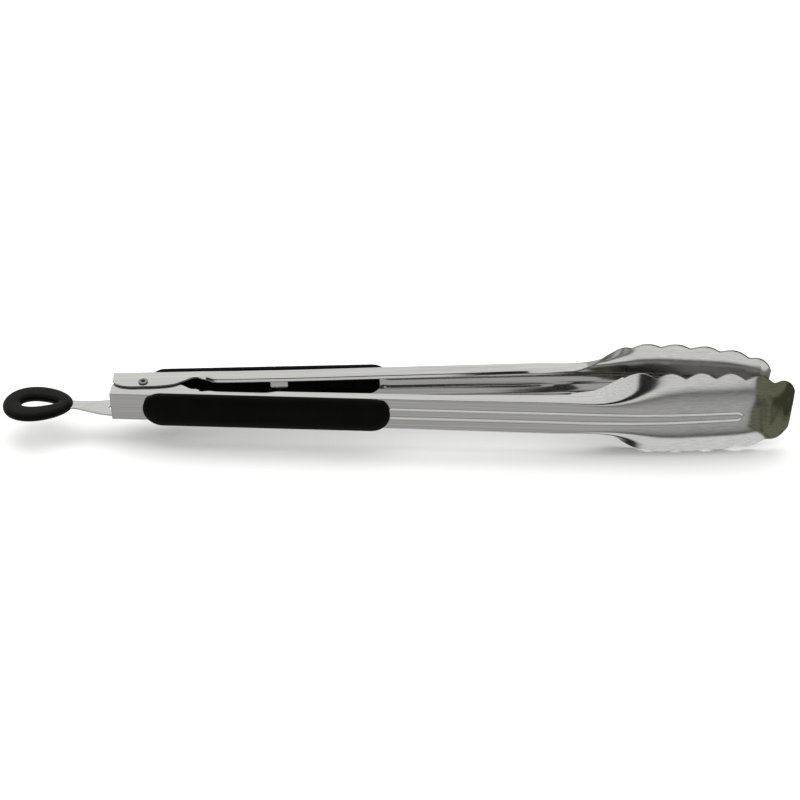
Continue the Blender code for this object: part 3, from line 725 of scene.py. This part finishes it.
seat(pressArm(1, armForm["outerTailHalf"]), "outerArmSheet", "outer_side",
     "outer_arm", outerSteel, restAngle)
seat(pressArm(-1, armForm["innerTailHalf"]), "innerArmSheet", "inner_side",
     "inner_arm", innerSteel, -restAngle)
print("arms pressed")
seat(mouldGrip(1), "outerGripPad", "outer_side", "outer_grip", gripRubber,
     restAngle)
seat(mouldGrip(-1), "innerGripPad", "inner_side", "inner_grip", gripRubber,
     -restAngle)
seat(mouldLiner(1), "outerLinerStrip", "outer_side", "outer_liner",
     linerRubber, restAngle)
seat(mouldLiner(-1), "innerLinerStrip", "inner_side", "inner_liner",
     linerRubber, -restAngle)
print("grips and liners moulded")


# a ring is drawn, then pulled and resized along the profile, as on a lathe
def turnPiece(profile, segments, closed):
    first = profile[0]
    clearSelection()
    bpy.ops.mesh.primitive_circle_add(vertices=segments, radius=first[0] * mm,
                                      fill_type="NOTHING" if closed else "NGON",
                                      location=(0.0, 0.0, first[1] * mm))
    piece = bpy.context.object
    bpy.ops.object.transform_apply(location=True, rotation=True, scale=True)
    startEdit(piece, "EDGE")
    bpy.ops.mesh.select_all(action="SELECT")
    last = first
    steps = profile[1:] + ([first] if closed else [])
    for radius, z in steps:
        bpy.ops.mesh.extrude_edges_move(
            TRANSFORM_OT_translate={"value": (0.0, 0.0, (z - last[1]) * mm)})
        ratio = radius / last[0]
        if abs(ratio - 1.0) > 0.0001:
            bpy.ops.transform.resize(value=(ratio, ratio, 1.0), center_override=(0.0, 0.0, z * mm))
        last = (radius, z)
    if not closed:
        bpy.ops.mesh.edge_face_add()
    endEdit()
    tidyMesh(piece)
    return piece


# the lip and crown rows are steps out from the bore or in from the head, and down from the top
rivetForm = {"shank": 1.9, "head": 2.9, "foot": 3.5, "ear": 11.15, "high": 0.9, "bore": 1.2,
             "boreDeep": 4.0, "boreLip": ((0.0, 0.45), (0.15, 0.12), (0.4, 0.0)),
             "crown": ((0.8, 0.03), (0.35, 0.14), (0.08, 0.38), (0.0, 0.6)), "footRim": 0.3,
             "footCrown": (0.5, 0.15), "footFlat": 1.6, "sides": 64, "round": (0.06, 2, 35.0)}
sleeveForm = {"inner": 2.1, "outer": 2.9, "low": -6.3, "high": 8.5}
washerForm = {"inner": 2.1, "outer": 5.4, "low": -7.2, "high": -6.6}
tubeForm = {"sides": 56, "round": (0.12, 2, 35.0)}
turnedSmooth = 40


def makeRivet():
    form = rivetForm
    ear, bore, head, foot, shank = (form[key] for key in ("ear", "bore", "head", "foot", "shank"))
    top = ear + form["high"]
    footIn, footUp = form["footCrown"]
    profile = [(bore, top - form["boreDeep"])]
    profile += [(bore + out, top - down) for out, down in form["boreLip"]]
    profile += [(head - back, top - down) for back, down in form["crown"]]
    profile += [(head, ear), (shank, ear), (shank, -ear), (foot, -ear)]
    profile += [(foot, -ear - form["footRim"]), (foot - footIn, footUp - top),
                (form["footFlat"], -top)]
    rivet = turnPiece(profile, form["sides"], False)
    roundEdges(rivet, *form["round"])
    smoothOver(rivet, turnedSmooth)
    return rivet


def makeTube(form):
    inner, outer, low, high = form["inner"], form["outer"], form["low"], form["high"]
    tube = turnPiece([(inner, high), (outer, high), (outer, low), (inner, low)], tubeForm["sides"],
                     True)
    roundEdges(tube, *tubeForm["round"])
    smoothOver(tube, turnedSmooth)
    return tube


seat(makeRivet(), "pivotRivet", "pivot", "pivot_rivet", rivetSteel)
seat(makeTube(sleeveForm), "springSleeve", "pivot", "spring_sleeve", nylon)
seat(makeTube(washerForm), "thrustWasher", "pivot", "thrust_washer", nylon)
print("rivet stack turned")

springForm = {"wire": 0.7, "coil": 4.0, "low": -5.5, "high": 7.4, "turns": 6, "steps": 40,
              "legX": 17.0, "legY": 9.6, "lowLeg": (0.3, 0.6, 0.9), "highLeg": (0.1, 0.4, 0.7),
              "roundness": 4, "hold": 1.2, "smooth": 50}


# one drawn wire: leg, close coil round the sleeve, leg
def windSpring():
    form = springForm
    low = Vector((form["legX"], -form["legY"], form["low"]))
    high = Vector((form["legX"], form["legY"], form["high"]))
    swing = math.atan2(form["legY"], form["legX"])
    lead = math.acos(form["coil"] / math.hypot(form["legX"], form["legY"]))
    startAngle, endAngle = -swing - lead, swing + lead
    span = 2.0 * math.pi * form["turns"] - (endAngle - startAngle)
    count = form["turns"] * form["steps"]
    path = [low]
    coil = []
    for k in range(count + 1):
        share = k / count
        angle = startAngle - span * share
        coil.append(Vector((form["coil"] * math.cos(angle), form["coil"] * math.sin(angle),
                            form["low"] + (form["high"] - form["low"]) * share)))
    path += [low.lerp(coil[0], share) for share in form["lowLeg"]]
    path += coil
    path += [coil[-1].lerp(high, share) for share in form["highLeg"]] + [high]
    curve = bpy.data.curves.new("springPath", "CURVE")
    curve.dimensions = "3D"
    curve.bevel_depth = form["wire"] * mm
    curve.bevel_resolution = form["roundness"]
    curve.use_fill_caps = True
    line = curve.splines.new("POLY")
    line.points.add(len(path) - 1)
    for point, spot in zip(line.points, path):
        point.co = (spot.x * mm, spot.y * mm, spot.z * mm, 1.0)
    wire = bpy.data.objects.new("springPath", curve)
    bpy.context.scene.collection.objects.link(wire)
    onlyThis(wire)
    bpy.ops.object.convert(target="MESH")
    wire = bpy.context.object
    tidyMesh(wire)
    smoothOver(wire, form["smooth"])
    return wire


def seatSpring():
    wire = windSpring()
    wire.name = "torsionSpring"
    onlyThis(wire)
    wire.location = pivot
    bpy.ops.object.transform_apply(location=True, rotation=True, scale=True)
    wire.data.materials.clear()
    wire.data.materials.append(wireSteel)
    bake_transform(wire)
    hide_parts("torsion_spring")


seatSpring()
print("spring wound")

plateForm = {"thick": 1.0, "z": -8.0, "inX": 8.6, "soft": 2.5, "half": 8.5, "shoulderX": -18.2,
             "neckX": -40.6, "neckHalf": 3.9, "outX": -50.5, "bendX": -27.5, "slope": 0.13,
             "slotHalf": 2.2, "slot": (-19.9, 2.1), "cutDeep": 6.0, "corner": 10,
             "cornerShare": 0.3,
             "shoulderRun": (1.0, 0.6), "shoulderIn": 0.2, "bendRun": 1.5, "bendSpread": 0.33,
             "neckRun": 3.0, "endShare": 0.8, "round": (0.12, 2, 35.0), "smooth": 35}


def plateLift(x):
    return plateForm["slope"] * max(0.0, plateForm["bendX"] - x)


# the flat wedge is pulled out of a short bar, station by station
def blankPlate():
    form = plateForm
    half, neck = form["half"], form["neckHalf"]
    share = (form["bendX"] - form["neckX"]) / (form["shoulderX"] - form["neckX"])
    bend = neck + (half - neck) * share
    cut = form["cornerShare"] * form["soft"]
    before, after = form["shoulderRun"]
    stations = [(form["inX"], half - form["soft"]), (form["inX"] - cut, half - cut),
                (form["inX"] - form["soft"], half), (form["shoulderX"] + before, half),
                (form["shoulderX"] - after, half - form["shoulderIn"]),
                (form["bendX"] + form["bendRun"], bend + form["bendSpread"]),
                (form["bendX"] - form["bendRun"], bend - form["bendSpread"]),
                (form["neckX"], neck), (form["neckX"] - form["neckRun"], neck),
                (form["outX"], neck * form["endShare"])]
    clearSelection()
    bpy.ops.mesh.primitive_plane_add(size=1.0, rotation=(0.0, math.pi / 2, 0.0),
                                     location=(stations[0][0] * mm, 0.0, form["z"] * mm))
    plate = bpy.context.object
    plate.scale = (form["thick"] * mm, 2 * stations[0][1] * mm, 1.0)
    bpy.ops.object.transform_apply(location=True, rotation=True, scale=True)
    startEdit(plate)
    bpy.ops.mesh.select_all(action="SELECT")
    last = stations[0]
    for x, wide in stations[1:]:
        rise = plateLift(x) - plateLift(last[0])
        bpy.ops.mesh.extrude_region_move(
            TRANSFORM_OT_translate={"value": ((x - last[0]) * mm, 0.0, rise * mm)})
        bpy.ops.transform.resize(value=(1.0, wide / last[1], 1.0),
                                 center_override=(x * mm, 0.0, 0.0))
        last = (x, wide)
    endEdit()
    tidyMesh(plate)
    return plate


def slotCutter():
    half = plateForm["slotHalf"]
    low, high = plateForm["slot"]
    cutter = stadiumFace(low - half, high + half, half, 0.0, 1, plateForm["corner"])
    startEdit(cutter)
    bpy.ops.mesh.select_all(action="SELECT")
    raiseFace(plateForm["cutDeep"], 1)
    endEdit()
    tidyMesh(cutter)
    cutter.data.transform(Matrix.Rotation(math.pi / 2, 4, "X"))
    cutter.location = (0.0, 0.0, (plateForm["z"] - plateForm["cutDeep"] / 2) * mm)
    onlyThis(cutter)
    bpy.ops.object.transform_apply(location=True, rotation=True, scale=True)
    return cutter


def makePlate():
    plate = blankPlate()
    cutWith(plate, slotCutter())
    roundEdges(plate, *plateForm["round"])
    smoothOver(plate, plateForm["smooth"])
    return plate


loopForm = {"x": -65.0, "z": -5.4, "halfLong": 21.0, "halfWide": 15.8, "taper": 0.16,
            "thick": 5.4, "holeX": 1.0, "holeLong": 11.3, "holeWide": 4.4, "holeTaper": 0.45,
            "round": 2.45, "roundSteps": 8, "roundAngle": 50.0, "steps": 96, "room": 0.3,
            "pocketEnd": 12.0, "smooth": 50}


# a disc drawn to the outline, opened by an inset, thickened and rounded over
def mouldLoop():
    form = loopForm
    clearSelection()
    bpy.ops.mesh.primitive_circle_add(vertices=form["steps"], radius=1.0, fill_type="NGON")
    loop = bpy.context.object
    for vertex in loop.data.vertices:
        across = 1.0 - form["taper"] * vertex.co.x
        vertex.co = (vertex.co.x * form["halfLong"] * mm,
                     vertex.co.y * form["halfWide"] * across * mm, -form["thick"] / 2 * mm)
    startEdit(loop)
    bpy.ops.mesh.select_all(action="SELECT")
    bpy.ops.mesh.inset(thickness=form["round"] * 2 * mm)
    shape = bmesh.from_edit_mesh(loop.data)
    for vertex in [v for v in shape.verts if v.select]:
        angle = math.atan2(vertex.co.y / form["halfWide"], vertex.co.x / form["halfLong"])
        across = 1.0 - form["holeTaper"] * math.cos(angle)
        vertex.co.x = (form["holeX"] + form["holeLong"] * math.cos(angle)) * mm
        vertex.co.y = form["holeWide"] * math.sin(angle) * across * mm
    bmesh.update_edit_mesh(loop.data)
    bpy.ops.mesh.delete(type="FACE")
    bpy.ops.mesh.select_all(action="SELECT")
    bpy.ops.mesh.extrude_region_move(
        TRANSFORM_OT_translate={"value": (0.0, 0.0, form["thick"] * mm)})
    endEdit()
    tidyMesh(loop)
    roundEdges(loop, form["round"], form["roundSteps"], form["roundAngle"])
    loop.location = (form["x"] * mm, 0.0, form["z"] * mm)
    onlyThis(loop)
    bpy.ops.object.transform_apply(location=True, rotation=True, scale=True)
    cutWith(loop, pocketCutter())
    smoothOver(loop, form["smooth"])
    return loop


def pocketCutter():
    low = plateForm["outX"] - loopForm["room"]
    high = plateForm["neckX"] + loopForm["pocketEnd"]
    wide = plateForm["neckHalf"] + loopForm["room"]
    thick = plateForm["thick"] + 2 * loopForm["room"]
    clearSelection()
    bpy.ops.mesh.primitive_plane_add(
        size=1.0, rotation=(0.0, math.pi / 2, 0.0),
        location=(low * mm, 0.0, (plateForm["z"] + plateLift(low)) * mm))
    cutter = bpy.context.object
    cutter.scale = (thick * mm, 2 * wide * mm, 1.0)
    bpy.ops.object.transform_apply(location=True, rotation=True, scale=True)
    startEdit(cutter)
    bpy.ops.mesh.select_all(action="SELECT")
    bpy.ops.mesh.extrude_region_move(TRANSFORM_OT_translate={
        "value": ((high - low) * mm, 0.0, (plateLift(high) - plateLift(low)) * mm)})
    endEdit()
    tidyMesh(cutter)
    return cutter


seat(makePlate(), "lockPlate", "lock", "lock_plate", plateSteel)
seat(mouldLoop(), "pullLoop", "lock", "pull_loop", loopPlastic)
print("lock plate and loop made")

# the table, the studio and the camera
studio = {
    "floorSize": 8.0,
    "floorZ": -0.0002,
    "floorMottle": 3.0,
    "floorTones": ((0.0, (0.84, 0.84, 0.84, 1.0)), (1.0, (0.88, 0.88, 0.88, 1.0))),
    "floorRough": 0.9,
    "floorShine": 0.1,
    "world": 0.9,
    "warmth": 0.98,
    # degrees up from the front horizon, over the top and down behind, then brightness
    "bands": ((-180, 0.50), (-140, 0.46), (-118, 0.04), (-104, 0.03), (-94, 0.98), (-62, 1.05),
              (-56, 0.10), (-47, 0.40), (-35, 0.60), (-14, 0.42), (-4, 0.24), (5, 0.85), (10, 1.05),
              (16, 0.90), (19, 0.03), (38, 0.02), (43, 0.98), (90, 1.02), (145, 1.08), (180, 1.0)),
    # name, place, size and power
    "lights": (("overheadPanel", (0.0, 0.25, 1.3), (1.8, 1.2), 14.0),
               ("leftPanel", (-1.1, -0.5, 0.9), (0.8, 0.8), 5.0)),
}
screenForm = {"gap": 0.012, "y": 0.055, "z": 0.10, "size": 0.28, "leaves": 26.0, "detail": 1.0,
              "twist": 1.5, "tones": ((0.42, (0.05, 0.052, 0.03, 1.0)),
                                      (0.58, (0.16, 0.165, 0.105, 1.0)))}
cameraSet = {"azimuth": -0.349, "elevation": 35.577, "roll": -0.323, "distance": 0.8777,
             "lens": 65.536, "sensor": 36.0, "clip": 0.01, "right": 153.743, "up": -1.007}


def layFloor():
    clearSelection()
    bpy.ops.mesh.primitive_plane_add(size=studio["floorSize"],
                                     location=(0.0, 0.0, studio["floorZ"]))
    floor = bpy.context.object
    floor.name = "paleTable"
    material = bpy.data.materials.new("paleTable")
    tree, shader = newNodes(material)
    place = addNode(tree, "ShaderNodeTexCoord", -800, 0)
    mottle = noiseNode(tree, -600, 0, place.outputs["Object"], Scale=studio["floorMottle"])
    tone = rampNode(tree, -400, 0, mottle.outputs[0], studio["floorTones"])
    link(tree, tone.outputs[0], shader.inputs["Base Color"])
    shader.inputs["Roughness"].default_value = studio["floorRough"]
    shader.inputs["Specular IOR Level"].default_value = studio["floorShine"]
    floor.data.materials.append(material)
    floor.visible_glossy = False


# soft light all round in level bands, which the polished steel picks up as long streaks
def lightRoom():
    world = bpy.data.worlds.new("studioRoom")
    bpy.context.scene.world = world
    world.use_nodes = True
    tree = world.node_tree
    back = tree.nodes["Background"]
    place = addNode(tree, "ShaderNodeTexCoord", -900, 0)
    parts = addNode(tree, "ShaderNodeSeparateXYZ", -700, 0)
    link(tree, place.outputs["Generated"], parts.inputs[0])
    toFront = mathNode(tree, "MULTIPLY", -550, -100, parts.outputs[1], -1.0)
    angle = mathNode(tree, "ARCTAN2", -400, 0, parts.outputs[2], toFront)
    share = mathNode(tree, "MULTIPLY", -250, 0, angle, 1.0 / (2.0 * math.pi))
    share = mathNode(tree, "ADD", -150, 0, share, 0.5)
    ramp = addNode(tree, "ShaderNodeValToRGB", 0, 0)
    stops = [(0.5 + degrees / 360.0, value) for degrees, value in studio["bands"]]
    line = ramp.color_ramp
    for end in (0, -1):
        line.elements[end].position = stops[end][0]
        line.elements[end].color = (stops[end][1],) * 3 + (1.0,)
    for spot, value in stops[1:-1]:
        made = line.elements.new(spot)
        made.color = (value, value, value * studio["warmth"], 1.0)
    link(tree, share, ramp.inputs[0])
    link(tree, ramp.outputs[0], back.inputs["Color"])
    back.inputs["Strength"].default_value = studio["world"]


def hangLight(name, place, size, power):
    data = bpy.data.lights.new(name, "AREA")
    data.shape = "RECTANGLE"
    data.size, data.size_y = size
    data.energy = power
    lamp = bpy.data.objects.new(name, data)
    bpy.context.scene.collection.objects.link(lamp)
    lamp.location = place
    lamp.visible_glossy = False
    lamp.rotation_euler = (-Vector(place)).to_track_quat("-Z", "Y").to_euler()


# a dark screen just past the tips, which only the polished steel picks up
def standScreen():
    form = screenForm
    clearSelection()
    bpy.ops.mesh.primitive_plane_add(size=1.0, rotation=(0.0, math.pi / 2, 0.0),
                                     location=(cadBox[1].x + form["gap"], form["y"], form["z"]))
    screen = bpy.context.object
    screen.name = "darkScreen"
    screen.scale = (form["size"], form["size"], 1.0)
    bpy.ops.object.transform_apply(location=True, rotation=True, scale=True)
    material = bpy.data.materials.new("darkScreen")
    tree, shader = newNodes(material)
    place = addNode(tree, "ShaderNodeTexCoord", -900, 0)
    leaves = noiseNode(tree, -700, 0, place.outputs["Object"], Scale=form["leaves"],
                       Detail=form["detail"], Distortion=form["twist"])
    tone = rampNode(tree, -500, 0, leaves.outputs[0], form["tones"])
    link(tree, tone.outputs[0], shader.inputs["Emission Color"])
    shader.inputs["Emission Strength"].default_value = 1.0
    shader.inputs["Base Color"].default_value = (0.0, 0.0, 0.0, 1.0)
    shader.inputs["Roughness"].default_value = 1.0
    screen.data.materials.append(material)
    screen.visible_camera = False
    screen.visible_diffuse = False
    screen.visible_shadow = False


def setCamera():
    az, el = math.radians(cameraSet["azimuth"]), math.radians(cameraSet["elevation"])
    back = Vector((math.sin(az) * math.cos(el), -math.cos(az) * math.cos(el), math.sin(el)))
    right = Vector((math.cos(az), math.sin(az), 0.0))
    up = back.cross(right)
    spot = pivot + (right * cameraSet["right"] + up * cameraSet["up"]) * mm
    roll = math.radians(cameraSet["roll"])
    axisX = right * math.cos(roll) - up * math.sin(roll)
    axisY = right * math.sin(roll) + up * math.cos(roll)
    place = spot + back * cameraSet["distance"]
    data = bpy.data.cameras.new("studioCamera")
    data.sensor_width = cameraSet["sensor"]
    data.lens = cameraSet["lens"]
    data.clip_start = cameraSet["clip"]
    camera = bpy.data.objects.new("studioCamera", data)
    bpy.context.scene.collection.objects.link(camera)
    rows = [(axisX[k], axisY[k], back[k], place[k]) for k in range(3)]
    camera.matrix_world = Matrix(rows + [(0.0, 0.0, 0.0, 1.0)])
    bpy.context.scene.camera = camera


layFloor()
lightRoom()
for light in studio["lights"]:
    hangLight(*light)
standScreen()
setCamera()
bpy.context.scene.view_settings.view_transform = "Standard"
print("studio ready")

clearSelection()
